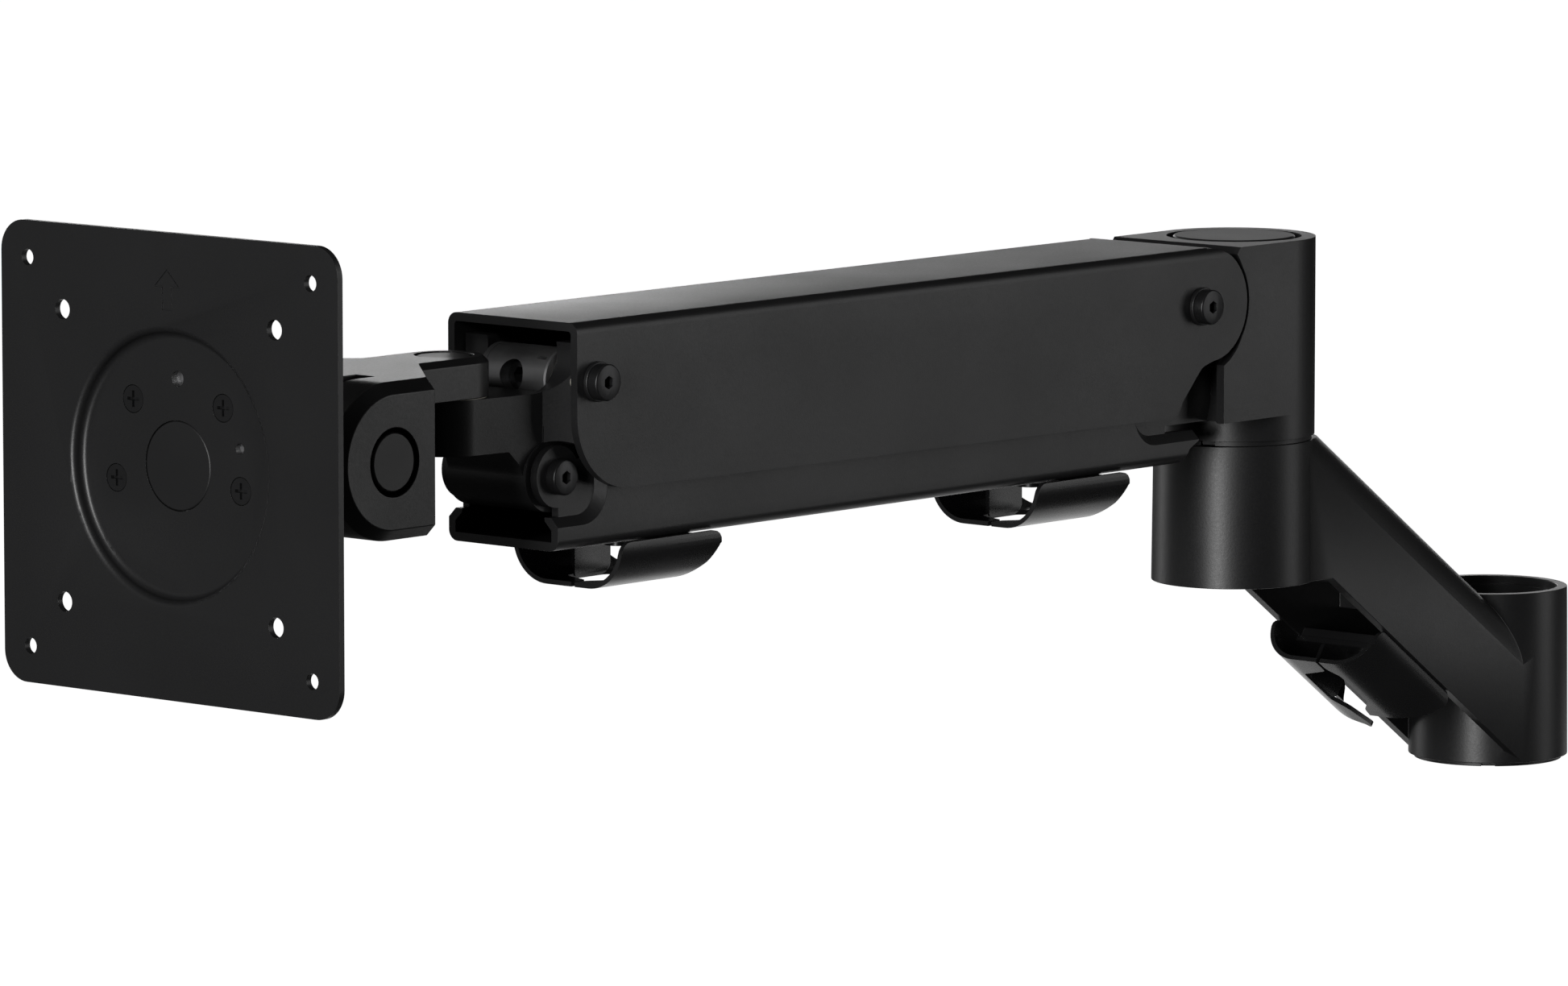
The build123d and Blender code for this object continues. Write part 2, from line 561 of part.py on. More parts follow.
def tension_barrel():
    """Cross barrel on the upper front pivot, drilled for the tension screw."""
    barrel = rod_y(8.0, -11.9, 11.9, UPPER_FRONT)
    barrel = chamfer(barrel.edges().filter_by(GeomType.CIRCLE), 0.4)
    barrel -= rod_y(9.0, -9.9, -9.5, UPPER_FRONT) - rod_y(7.7, -9.9, -9.5, UPPER_FRONT)
    barrel -= Pos(UPPER_FRONT[0], 9.0, UPPER_FRONT[1]) * Rot(0, -45, 0) * Box(2 * 8.4, 3.0, 1.0) & block(
        UPPER_FRONT[0], UPPER_FRONT[0] + 9, 5, 11, UPPER_FRONT[1] + 4, UPPER_FRONT[1] + 9)
    barrel += rod_y(PIN_RADIUS, -20.7, 20.7, UPPER_FRONT)
    barrel -= both_sides(rod_y(SCREW_RADIUS, 12.7, 21, UPPER_FRONT))
    barrel -= spring_bar(4.1, SPRING_SPAN - 2.5, SPRING_SPAN + 12)
    return barrel - spring_bar(3.0 + RUNNING_CLEARANCE, SPRING_SPAN - 12, SPRING_SPAN + 1)


def tension_screw():
    """Socket-head adjusting screw through the barrel."""
    screw = spring_bar(3.0, 212, SPRING_SPAN - 2.5) + spring_bar(4.0, SPRING_SPAN - 2.5, SPRING_SPAN + 4.5)
    socket = extrude(RegularPolygon(2.0, 6, major_radius=False), amount=4)
    return screw - on_spring(Pos(0, 0, SPRING_SPAN + 1.5) * socket)


# ---- End bracket ----
def end_bracket():
    """Knuckle: pan eye in front, two upper bosses and a lower hub behind."""
    eye = rod_z(LUG_RADIUS, EYE_BOTTOM, EYE_TOP, PAN_X)
    neck = plan_slab([(PAN_X, -LUG_RADIUS), (PAN_X, LUG_RADIUS), (NECK_X, NECK_HALF_WIDTH),
                      (415.0, NECK_HALF_WIDTH), (415.0, -NECK_HALF_WIDTH), (NECK_X, -NECK_HALF_WIDTH)], EYE_BOTTOM, EYE_TOP)
    neck -= rod_y(8.6, -SIDE_INNER, SIDE_INNER, UPPER_FRONT)
    side = side_disc(UPPER_EAR_RADIUS, UPPER_FRONT)
    side += side_polygon((402.0, 141.0), (412.0, 136.6), (414.0, 130.0), (424.0, 128.6),
                         (424.0, 156.4), (410.4, 156.4))
    side -= side_disc(10.6, (424.6, EYE_TOP + 10.6))
    wall = side_slab(side, SIDE_INNER, SIDE_OUTER)
    wall &= plan_slab([(424.0, 12.0), (424.0, 13.7), (NECK_X, NECK_HALF_WIDTH), (414.0, SIDE_OUTER),
                       (395.0, SIDE_OUTER),
                       (395.0, 12.0)], 100, 180)
    web = side_slab(side_polygon((409.5, 121.7), (428.0, 121.7), (429.5, 125.5), (434.0, EYE_BOTTOM + 1),
                                 (434.0, 134.0), (409.5, 136.0)), -LOWER_HUB_HALF_WIDTH, LOWER_HUB_HALF_WIDTH)
    web &= plan_slab([(PAN_X, -LUG_RADIUS), (PAN_X, LUG_RADIUS), (NECK_X, NECK_HALF_WIDTH),
                      (NECK_X, LOWER_HUB_HALF_WIDTH), (400.0, LOWER_HUB_HALF_WIDTH), (400.0, -LOWER_HUB_HALF_WIDTH),
                      (NECK_X, -LOWER_HUB_HALF_WIDTH), (NECK_X, -NECK_HALF_WIDTH)], 100, 180)
    hub = web + side_slab(side_disc(9.5, LOWER_FRONT), -LOWER_HUB_HALF_WIDTH, LOWER_HUB_HALF_WIDTH)
    bracket = eye + neck + both_sides(wall) + hub
    bracket -= both_sides(side_slab(side_disc(9.3, LOWER_FRONT), LOWER_HUB_HALF_WIDTH, 25))
    bracket -= side_slab(side_disc(8.9, UPPER_FRONT), -SIDE_INNER, SIDE_INNER)
    bracket -= rod_y(BUSHING_RADIUS, -25, 25, UPPER_FRONT)
    bracket -= rod_y(BUSHING_RADIUS, -25, 25, LOWER_FRONT)
    bracket -= rod_z(PAN_BUSHING_RADIUS, 120, 160, PAN_X)
    return bracket - rod_z(PAN_RECESS_RADIUS, 120, PAN_BUSHING_BOTTOM, PAN_X)


def pan_bushing():
    """Bushing in the pan eye."""
    ring = rod_z(PAN_BUSHING_RADIUS, PAN_BUSHING_BOTTOM, EYE_TOP, PAN_X)
    return ring - rod_z(PAN_BOLT_RADIUS + RUNNING_CLEARANCE, 130, 150, PAN_X)


# ---- Yoke ----
def head_side(reach_front, radius):
    """Side view of the head: flat behind the tilt axis, round in front of it."""
    low = HEAD_Z - HEAD_HALF_HEIGHT
    high = HEAD_Z + HEAD_HALF_HEIGHT
    face = side_polygon((430, low), (TILT_X, low), (TILT_X, high), (430, high))
    if reach_front:
        return face + side_polygon((TILT_X, low), (reach_front, low), (reach_front, high), (TILT_X, high))
    return face + side_disc(radius, (TILT_X, HEAD_Z))


def yoke_casting():
    """Pan lug, widening body, central prong and two D-shaped cheeks."""
    body = plan_slab([(461.0, -8.0), (464.4, -10.5), (CHEEK_ROOT_X, -CHEEK_ROOT_HALF_WIDTH),
                      (CHEEK_ROOT_X, -CHEEK_OUTER), (525, -CHEEK_OUTER), (525, CHEEK_OUTER),
                      (CHEEK_ROOT_X, CHEEK_OUTER), (CHEEK_ROOT_X, CHEEK_ROOT_HALF_WIDTH),
                      (464.4, 10.5), (461.0, 8.0)], 100, 170)
    wide = side_slab(head_side(None, HEAD_HALF_HEIGHT), -CHEEK_OUTER, CHEEK_OUTER)
    outer_edges = wide.faces().filter_by(Axis.Y).edges()
    wide = chamfer(outer_edges, 3.0)
    casting = wide & body
    casting += side_slab(head_side(509.0, 0), -PRONG_HALF_WIDTH, PRONG_HALF_WIDTH) & body
    lug = rod_z(LUG_RADIUS, LUG_BOTTOM, HEAD_Z + HEAD_HALF_HEIGHT, PAN_X)
    lug += block(PAN_X, 470, -LUG_RADIUS, LUG_RADIUS, LUG_BOTTOM, HEAD_Z + HEAD_HALF_HEIGHT)
    top_edges = lug.edges().group_by(Axis.Z)[-1]
    lug = chamfer(top_edges.filter_by(lambda edge: edge.center().X < 469), 1.7)
    casting += lug
    slot = side_disc(14.6, (TILT_X, HEAD_Z)) + side_polygon(
        (TILT_X - 7.4, 100), (530, 100), (530, 170), (TILT_X - 7.4, 170))
    casting -= both_sides(side_slab(slot, PRONG_HALF_WIDTH, CHEEK_INNER))
    casting -= rod_y(PIN_RADIUS, -40, 40, (TILT_X, HEAD_Z))
    casting -= both_sides(rod_y(8.85, TILT_SEAT, 40, (TILT_X, HEAD_Z)))
    casting -= rod_z(PAN_BOLT_RADIUS, 120, 170, PAN_X)
    return casting - rod_z(7.75, PAN_SEAT, 170, PAN_X)


def pan_bolt():
    """Shoulder bolt down through lug and eye."""
    bolt = rod_z(PAN_BOLT_RADIUS, 129.8, PAN_SEAT, PAN_X)
    bolt += rod_z(BOLT_HEAD_RADIUS, PAN_SEAT, PAN_HEAD_TOP, PAN_X)
    return bolt - hexagon_z(HEX_6_MM / 2, PAN_HEAD_TOP - 2, PAN_HEAD_TOP + 1, PAN_X)


def pan_nut():
    """Lock nut in the eye's lower recess."""
    return hexagon_z(NUT_HALF_WIDTH, 130.0, PAN_NUT_TOP, PAN_X) - rod_z(PAN_BOLT_RADIUS, 120, 140, PAN_X)


def pan_lower_washer():
    """Washer between nut and eye."""
    return rod_z(7.8, PAN_NUT_TOP, PAN_BUSHING_BOTTOM, PAN_X) - rod_z(PAN_BOLT_RADIUS, 120, 140, PAN_X)


def pan_friction_washer():
    """Thin washer between eye and lug."""
    return rod_z(11.0, EYE_TOP, LUG_BOTTOM, PAN_X) - rod_z(PAN_BOLT_RADIUS, 140, 150, PAN_X)


def pan_cap():
    """Round cap in the lug's top."""
    cap = rod_z(7.15, PAN_HEAD_TOP, HEAD_Z + HEAD_HALF_HEIGHT - 0.2, PAN_X)
    return chamfer(cap.edges().group_by(Axis.Z)[-1], 0.35)


def tilt_bolt():
    """Bolt through cheeks, ears and prong."""
    place = (TILT_X, HEAD_Z)
    bolt = rod_y(PIN_RADIUS, -31.5, TILT_SEAT, place) + rod_y(BOLT_HEAD_RADIUS, TILT_SEAT, TILT_HEAD_TOP, place)
    return bolt - hexagon_y(HEX_6_MM / 2, TILT_HEAD_TOP - 2, TILT_HEAD_TOP + 0.5, place)


def tilt_nut():
    """Lock nut at the bolt's far end."""
    place = (TILT_X, HEAD_Z)
    return hexagon_y(NUT_HALF_WIDTH, -TILT_HEAD_TOP, -TILT_SEAT, place) - rod_y(PIN_RADIUS, -31.5, -20, place)


def tilt_caps():
    """Round cap in each cheek."""
    cap = rod_y(7.65, TILT_HEAD_TOP, CHEEK_OUTER - 0.3, (TILT_X, HEAD_Z))
    return both_sides(chamfer(cap.edges().group_by(Axis.Y)[-1], 0.35))


def tilt_friction_washers():
    """Thin washers on both faces of both ears."""
    place = (TILT_X, HEAD_Z)
    hole = rod_y(PIN_RADIUS, 0, 40, place)
    inner = rod_y(10.0, PRONG_HALF_WIDTH, 16.0, place) - hole
    outer = rod_y(10.0, 21.5, CHEEK_INNER, place) - hole
    return both_sides(inner) + both_sides(outer)


# ---- Tilt bracket, rotation joint and plate ----
def tilt_bracket():
    """Two ears on a round flange behind the plate."""
    place = (TILT_X, HEAD_Z)
    ear = side_disc(14.0, place) + side_polygon((TILT_X, HEAD_Z - 6.6), (527, HEAD_Z - 6.6),
                                                (527, HEAD_Z + 6.6), (TILT_X, HEAD_Z + 6.6))
    bracket = both_sides(side_slab(ear, 16.05, 21.45))
    flange = rod_x(FLANGE_RADIUS, FLANGE_REAR, FLANGE_FRONT, 0, HEAD_Z)
    flange = fillet(flange.edges().group_by(Axis.X)[0], 1.2)
    bracket += flange
    bracket -= rod_y(BUSHING_RADIUS, -25, 25, place)
    bracket -= rod_x(AXLE_RADIUS, 520, 540, 0, HEAD_Z)
    return bracket - hexagon_x(NUT_HALF_WIDTH, FLANGE_REAR - 1, NUT_FRONT, 0, HEAD_Z)


def rotation_nut():
    """Nut let into the flange."""
    return hexagon_x(NUT_HALF_WIDTH, FLANGE_REAR + 0.2, NUT_FRONT, 0, HEAD_Z) - rod_x(AXLE_RADIUS, 520, 540, 0, HEAD_Z)


def rotation_friction_washer():
    """Disc spring and lining between flange and rotation disc."""
    return rod_x(26.0, FLANGE_FRONT, DISC_REAR, 0, HEAD_Z) - rod_x(AXLE_RADIUS, 520, 540, 0, HEAD_Z)


def rotation_bolt():
    """Axle of the plate's rotation."""
    bolt = rod_x(AXLE_RADIUS, FLANGE_REAR + 0.8, AXLE_SEAT, 0, HEAD_Z) + rod_x(6.8, AXLE_SEAT, AXLE_HEAD_FRONT, 0, HEAD_Z)
    return bolt - hexagon_x(HEX_5_MM / 2, AXLE_HEAD_FRONT - 2, AXLE_HEAD_FRONT + 1, 0, HEAD_Z)


def rotation_washer():
    """Washer under the rotation bolt's head."""
    return rod_x(7.6, AXLE_WASHER_REAR, AXLE_SEAT, 0, HEAD_Z) - rod_x(AXLE_RADIUS, 520, 540, 0, HEAD_Z)


def screw_places():
    """Centres of the four plate screws as (y, z)."""
    return [(PLATE_SCREW_CIRCLE * cos(radians(a)), HEAD_Z + PLATE_SCREW_CIRCLE * sin(radians(a)))
            for a in PLATE_SCREW_ANGLES]


def rotation_disc():
    """Aluminium disc that turns with the plate."""
    disc = rod_x(29.0, DISC_REAR, FLOOR_REAR, 0, HEAD_Z)
    disc = chamfer(disc.edges().group_by(Axis.X)[0], 0.8)
    disc -= rod_x(AXLE_RADIUS + RUNNING_CLEARANCE, 530, 545, 0, HEAD_Z)
    disc -= rod_x(8.0, AXLE_WASHER_REAR, 545, 0, HEAD_Z)
    for y, z in screw_places():
        disc -= rod_x(2.0, 534, 545, y, z)
    return disc


def corner_holes(spacing, radius):
    """Four holes on a square."""
    half = spacing / 2
    holes = [rod_x(radius, 530, 550, y, HEAD_Z + z) for y in (-half, half) for z in (-half, half)]
    return holes[0] + holes[1] + holes[2] + holes[3]


def dish_cut():
    """Round recess with a rolled edge, revolved about the plate's axis."""
    roll = DISH_DEPTH / 2
    floor_edge = DISH_RADIUS - 2 * roll
    wall_radius = floor_edge + roll
    across = (sin(radians(45)) * roll)
    rise = roll - cos(radians(45)) * roll
    lower_arc = ThreePointArc((floor_edge, 0), (floor_edge + across, rise), (wall_radius, roll))
    upper_arc = ThreePointArc((wall_radius, roll), (DISH_RADIUS - across, DISH_DEPTH - rise),
                              (DISH_RADIUS, DISH_DEPTH))
    outline = Line((0, 0), (floor_edge, 0)) + lower_arc + upper_arc + Line(
        (DISH_RADIUS, DISH_DEPTH), (DISH_RADIUS, DISH_DEPTH + 2)) + Line(
        (DISH_RADIUS, DISH_DEPTH + 2), (0, DISH_DEPTH + 2)) + Line((0, DISH_DEPTH + 2), (0, 0))
    solid = revolve(make_face(outline), Axis.Y)
    return Pos(FLOOR_FRONT, 0, HEAD_Z) * Rot(0, 0, -90) * solid


def arrow_groove():
    """Outline of an up arrow, cut as a shallow groove."""
    outline = Polyline((-1.65, 40.0), (1.65, 40.0), (1.65, 45.8), (4.25, 45.8), (0, 50.0),
                       (-4.25, 45.8), (-1.65, 45.8), close=True)
    face = make_face(outline)
    ring = offset(face, amount=0.2) - offset(face, amount=-0.2)
    groove = extrude(ring, amount=1)
    place = Plane(origin=(PLATE_FRONT - 0.25, 0, HEAD_Z), x_dir=(0, 1, 0), z_dir=(1, 0, 0))
    return place * groove


def vesa_plate():
    """Square plate with a dished centre and two square hole patterns."""
    sheet = block(PLATE_FRONT - PLATE_THICKNESS, PLATE_FRONT, -PLATE_SIZE / 2, PLATE_SIZE / 2,
                  HEAD_Z - PLATE_SIZE / 2, HEAD_Z + PLATE_SIZE / 2)
    sheet = fillet(sheet.edges().filter_by(Axis.X), PLATE_CORNER)
    back = rod_x(DISH_RADIUS + 0.2, FLOOR_REAR, PLATE_FRONT - PLATE_THICKNESS, 0, HEAD_Z)
    back = fillet(back.edges().group_by(Axis.X)[0], 1.6)
    plate = sheet + back - dish_cut()
    plate -= corner_holes(WIDE_PATTERN, WIDE_HOLE_RADIUS)
    plate -= corner_holes(NARROW_PATTERN, NARROW_HOLE_RADIUS)
    plate -= rod_x(11.6, 530, 550, 0, HEAD_Z)
    for y, z in screw_places():
        plate -= rod_x(3.65, 530, 550, y, z)
    plate -= rod_x(2.05, 530, 550, 0, HEAD_Z + 22.2)
    plate -= rod_x(1.5, 530, 550, 21.8, HEAD_Z + 6.0)
    return plate - arrow_groove()


def centre_cap():
    """Flush cap over the rotation bolt."""
    cap = rod_x(11.4, FLOOR_REAR, FLOOR_FRONT, 0, HEAD_Z)
    return chamfer(cap.edges().group_by(Axis.X)[-1], 0.25)


def plate_screws():
    """Four cross-head screws from the dish floor into the disc."""
    screws = []
    for y, z in screw_places():
        screw = rod_x(3.45, FLOOR_REAR, FLOOR_FRONT - 0.1, y, z) + rod_x(2.0, 534.6, FLOOR_REAR, y, z)
        cross = block(FLOOR_FRONT - 1.2, 545, y - 2.1, y + 2.1, z - 0.4, z + 0.4)
        cross += block(FLOOR_FRONT - 1.2, 545, y - 0.4, y + 0.4, z - 2.1, z + 2.1)
        screws.append(screw - cross)
    return screws[0] + screws[1] + screws[2] + screws[3]


# ---- Cable clips ----
def cable_clip():
    """C-shaped clip: front end at x=0, top face at z=0, opening along the bottom."""
    def shell(grow):
        half = CLIP_HALF_WIDTH - grow
        face = Rectangle(2 * half, 2 * (CLIP_HEIGHT - grow))
        corner = CLIP_CORNER - grow
        return Plane.YZ * fillet(face.vertices(), corner)
    ring = shell(0) - shell(CLIP_WALL)
    jaws = extrude(ring, amount=-CLIP_LENGTH)
    jaws -= block(-CLIP_LENGTH - 1, 1, -30, 30, 0, 30)
    for side in (-1, 1):
        low = -CLIP_HEIGHT - 1
        wedge = side_polygon((-CLIP_LENGTH - 1, low), (-CLIP_LENGTH + 9, low), (-CLIP_LENGTH + 2.5, -8.5),
                             (-CLIP_LENGTH, -2.0), (-CLIP_LENGTH - 1, -1.5))
        jaws -= side_slab(wedge, min(0, side * 30), max(0, side * 30))
    slot = plan_slab([(1, 3.4), (-4.5, 3.4), (-7.5, 5.5), (-22, 5.5), (-27, 0.5), (-41, -1.5), (-41, -8.5),
                      (-28, -4.0), (-23, -9.0), (-9, -9.0), (-6, 0.8), (1, 0.8)], -CLIP_HEIGHT - 1, -9)
    jaws -= slot
    saddle = block(-29, -11, -CLIP_HALF_WIDTH + 0.6, CLIP_HALF_WIDTH - 0.6, -1.6, 0)
    saddle -= rod_z(2.0, -3, 1, -CLIP_LENGTH / 2)
    return jaws + saddle


def clip_screw():
    """Pan-head screw for a clip whose front end is at x=0 and top face at z=0."""
    x = -CLIP_LENGTH / 2
    head = rod_z(3.6, -3.8, -1.6, x) + rod_z(2.0, -1.6, 2.4, x)
    cross = block(x - 2, x + 2, -0.4, 0.4, -4, -2.9) + block(x - 0.4, x + 0.4, -2, 2, -4, -2.9)
    return head - cross


def under_arm(solid, front_x):
    """Places a clip part below the lower channel."""
    return Pos(front_x, 0, LOWER_BOTTOM) * solid


def under_beam(solid):
    """Places a clip part below the link's beam."""
    slope = radians(BEAM_SLOPE)
    along = LINK_CLIP_ALONG
    x = BEAM_TOP_X + BEAM_DEPTH * sin(slope) - along * cos(slope)
    z = BEAM_TOP_Z - BEAM_DEPTH * cos(slope) - along * sin(slope)
    return Pos(x, 0, z) * Rot(0, -BEAM_SLOPE, 0) * solid


def beam_clip_crosspiece():
    """Strip across the beam's open side that carries the clip."""
    slope_start = LINK_CLIP_ALONG + 11.5
    bar = Pos(0, BEAM_DEPTH - 1.5, slope_start + 8) * Box(2 * (BEAM_HALF_WIDTH - BEAM_WALL) + 0.01, 3.0, 16)
    bar = on_beam(bar)
    return bar - under_beam(rod_z(2.0, -5, 10, -CLIP_LENGTH / 2))


NODES = {
    "link_casting": link_casting() + beam_clip_crosspiece(),
    "pole_liner": pole_liner(),
    "swivel_bushing_upper": swivel_bushing_upper(),
    "swivel_bushing_lower": swivel_bushing_lower(),
    "link_cable_clip": under_beam(cable_clip()),
    "link_clip_screw": under_beam(clip_screw()),
    "base_housing": base_housing(),
    "swivel_shaft": swivel_shaft(),
    "swivel_retainer": swivel_retainer(),
    "swivel_retaining_screw": swivel_retaining_screw(),
    "base_cap": base_cap(),
    "upper_rear_bushings": pivot_bushings(UPPER_REAR, PIN_RADIUS + RUNNING_CLEARANCE, 8.0, 20.2),
    "lower_rear_bushings": pivot_bushings(LOWER_REAR, LOWER_REAR_PIN_RADIUS + RUNNING_CLEARANCE, 5.6, 14.4),
    "upper_channel": upper_channel(),
    "upper_rear_pin": pivot_pin(UPPER_REAR, PIN_RADIUS, 20.7),
    "upper_screws": pivot_screws(UPPER_REAR, 24.3, 27.3, 4.875, 11) + pivot_screws(
        UPPER_FRONT, 24.3, 27.3, 4.875, 11),
    "upper_washers": pivot_washers(UPPER_REAR, 23.0, 24.3, 5.3) + pivot_washers(UPPER_FRONT, 23.0, 24.3, 5.3),
    "tension_barrel": tension_barrel(),
    "tension_screw": tension_screw(),
    "adjuster_block": adjuster_block(),
    "gas_spring_cylinder": gas_spring_cylinder(),
    "spring_rod": spring_rod(),
    "spring_piston": spring_piston(),
    "spring_eye": spring_eye(),
    "lower_channel": lower_channel(),
    "lower_rear_pin": pivot_pin(LOWER_REAR, LOWER_REAR_PIN_RADIUS, EAR_INNER),
    "lower_front_pin": pivot_pin(LOWER_FRONT, PIN_RADIUS, EAR_INNER),
    "lower_screws": pivot_screws(LOWER_REAR, EAR_OUTER, 20.0, 4.7, 10) + pivot_screws(
        LOWER_FRONT, EAR_OUTER, 20.0, 4.7, 10),
    "front_cable_clip": under_arm(cable_clip(), FRONT_CLIP_X),
    "rear_cable_clip": under_arm(cable_clip(), REAR_CLIP_X),
    "arm_clip_screws": under_arm(clip_screw(), FRONT_CLIP_X) + under_arm(clip_screw(), REAR_CLIP_X),
    "end_bracket": end_bracket(),
    "upper_front_bushings": pivot_bushings(UPPER_FRONT, PIN_RADIUS + RUNNING_CLEARANCE, 12.3, 20.3),
    "lower_front_bushings": pivot_bushings(LOWER_FRONT, PIN_RADIUS + 0.2, 4.2, 14.2),
    "pan_bushing": pan_bushing(),
    "yoke_casting": yoke_casting(),
    "pan_bolt": pan_bolt(),
    "pan_nut": pan_nut(),
    "pan_lower_washer": pan_lower_washer(),
    "pan_friction_washer": pan_friction_washer(),
    "pan_cap": pan_cap(),
    "tilt_bolt": tilt_bolt(),
    "tilt_nut": tilt_nut(),
    "tilt_caps": tilt_caps(),
    "tilt_friction_washers": tilt_friction_washers(),
    "tilt_bracket": tilt_bracket(),
    "tilt_bushings": pivot_bushings((TILT_X, HEAD_Z), PIN_RADIUS + RUNNING_CLEARANCE, 16.05, 21.45),
    "rotation_nut": rotation_nut(),
    "rotation_friction_washer": rotation_friction_washer(),
    "rotation_bolt": rotation_bolt(),
    "rotation_washer": rotation_washer(),
    "rotation_disc": rotation_disc(),
    "vesa_plate": vesa_plate(),
    "centre_cap": centre_cap(),
    "plate_screws": plate_screws(),
}

os.makedirs("parts", exist_ok=True)
for name, solid in NODES.items():
    export_step(solid, f"parts/{name}.step")
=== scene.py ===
"""The looks of a spring-balanced monitor arm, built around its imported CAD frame, in metres.

+X runs along the arm to the monitor plate, +Y to the side of the arm that the camera sees, +Z up the pole.
"""
import json
from math import cos, pi, radians, sin

import bmesh
import bpy
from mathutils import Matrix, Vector


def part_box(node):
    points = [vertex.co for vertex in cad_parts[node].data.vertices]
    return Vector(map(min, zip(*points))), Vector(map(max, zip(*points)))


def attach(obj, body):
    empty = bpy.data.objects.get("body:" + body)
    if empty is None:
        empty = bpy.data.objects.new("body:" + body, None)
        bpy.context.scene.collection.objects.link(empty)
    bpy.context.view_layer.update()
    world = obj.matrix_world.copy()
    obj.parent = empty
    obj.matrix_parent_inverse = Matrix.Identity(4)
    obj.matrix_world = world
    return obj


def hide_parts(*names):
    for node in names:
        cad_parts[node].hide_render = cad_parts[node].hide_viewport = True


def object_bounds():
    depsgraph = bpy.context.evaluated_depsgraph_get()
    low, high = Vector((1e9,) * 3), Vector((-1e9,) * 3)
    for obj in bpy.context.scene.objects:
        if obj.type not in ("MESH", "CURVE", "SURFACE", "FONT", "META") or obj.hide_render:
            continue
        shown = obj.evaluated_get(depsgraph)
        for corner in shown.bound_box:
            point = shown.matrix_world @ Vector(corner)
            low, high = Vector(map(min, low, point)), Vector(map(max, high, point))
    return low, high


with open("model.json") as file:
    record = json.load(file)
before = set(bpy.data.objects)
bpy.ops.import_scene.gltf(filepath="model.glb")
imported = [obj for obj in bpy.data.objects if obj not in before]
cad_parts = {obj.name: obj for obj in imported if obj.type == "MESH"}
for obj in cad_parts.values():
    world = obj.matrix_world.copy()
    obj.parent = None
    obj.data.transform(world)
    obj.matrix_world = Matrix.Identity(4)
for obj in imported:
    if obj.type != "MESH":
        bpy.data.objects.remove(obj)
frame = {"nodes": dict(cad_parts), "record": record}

CAD_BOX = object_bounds()
MM = 0.001
SAME_PLACE = 1e-6
NODES = frame["nodes"]
BODY_OF = {node: body for body, nodes in frame["record"]["behaviour"]["bodies"].items() for node in nodes}
SLOT_OF = {part["node"]: part["material_slot"] for part in frame["record"]["subparts"]}


# ---- Shader maths ----
class Value:
    """A socket of a material's node tree; arithmetic on it adds Math nodes."""

    def __init__(self, recipe, socket):
        self.recipe = recipe
        self.socket = socket

    def _maths(self, operation, *values):
        return self.recipe.add("ShaderNodeMath", {"operation": operation}, *values)

    def __add__(self, other):
        return self._maths("ADD", self, other)

    def __radd__(self, other):
        return self._maths("ADD", other, self)

    def __sub__(self, other):
        return self._maths("SUBTRACT", self, other)

    def __rsub__(self, other):
        return self._maths("SUBTRACT", other, self)

    def __mul__(self, other):
        return self._maths("MULTIPLY", self, other)

    def __rmul__(self, other):
        return self._maths("MULTIPLY", other, self)

    def clamped(self, low, high):
        return self._maths("MINIMUM", self._maths("MAXIMUM", self, low), high)


class Recipe:
    """One material and the few calls that its finish is written in."""

    def __init__(self, name):
        self.material = bpy.data.materials.new(name)
        self.material.use_nodes = True
        self.tree = self.material.node_tree
        self.shader = self.tree.nodes["Principled BSDF"]

    def add(self, kind, settings=None, *inputs, output=0, **named):
        """Adds a node: settings first, then the values or links of its sockets, in order or by name."""
        node = self.tree.nodes.new(kind)
        for key, value in (settings or {}).items():
            setattr(node, key, value)
        for index, value in enumerate(inputs):
            self._feed(node.inputs[index], value)
        for key, value in named.items():
            self._feed(node.inputs[key], value)
        return Value(self, node.outputs[output])

    def _feed(self, socket, value):
        if isinstance(value, Value):
            self.tree.links.new(value.socket, socket)
        elif value is not None:
            socket.default_value = value

    def place(self):
        """Object coordinates, which are the frame's own metres."""
        return self.add("ShaderNodeTexCoord", {}, output="Object")

    def noise(self, size, detail=2.0, roughness=0.5, stretch=None):
        """Noise whose features are about size metres across."""
        place = self.place()
        if stretch:
            place = self.add("ShaderNodeMapping", {}, place, Scale=stretch)
        return self.add("ShaderNodeTexNoise", {}, place, Scale=1.0 / size, Detail=detail,
                        Roughness=roughness)

    def cells(self, size):
        """Distance to the nearest of random points about size metres apart."""
        return self.add("ShaderNodeTexVoronoi", {}, self.place(), Scale=1.0 / size)

    def blend(self, share, dark, light):
        """Colour between two colours."""
        return self.add("ShaderNodeMix", {"data_type": "RGBA"}, share, None, None, None, None, None,
                        (*dark, 1.0), (*light, 1.0), output=2)

    def bump(self, height, strength, distance):
        return self.add("ShaderNodeBump", {}, Height=height, Strength=strength, Distance=distance)

    def finish(self, **sockets):
        """Feeds the shader: a name with underscores is the socket of that name."""
        for key, value in sockets.items():
            self._feed(self.shader.inputs[key.replace("_", " ")], value)
        return self.material


# ---- Finishes ----
def powder_coat(name, dark, light, roughness, grain=0.0007, depth=0.00006):
    """Black powder coat: a fine orange-peel grain under a satin film, slightly uneven in sheen."""
    recipe = Recipe(name)
    peel = recipe.noise(grain, 3.0, 0.55)
    speckle = recipe.cells(grain * 0.55)
    cloud = recipe.noise(0.035, 3.0)
    height = peel * 0.75 + (1 - speckle) * 0.25
    shade = recipe.blend((cloud * 0.6 + peel * 0.4).clamped(0.0, 1.0), dark, light)
    satin = (roughness + (cloud - 0.5) * 0.10 + (peel - 0.5) * 0.12).clamped(0.2, 0.9)
    return recipe.finish(Base_Color=shade, Roughness=satin, Normal=recipe.bump(height, 0.35, depth))


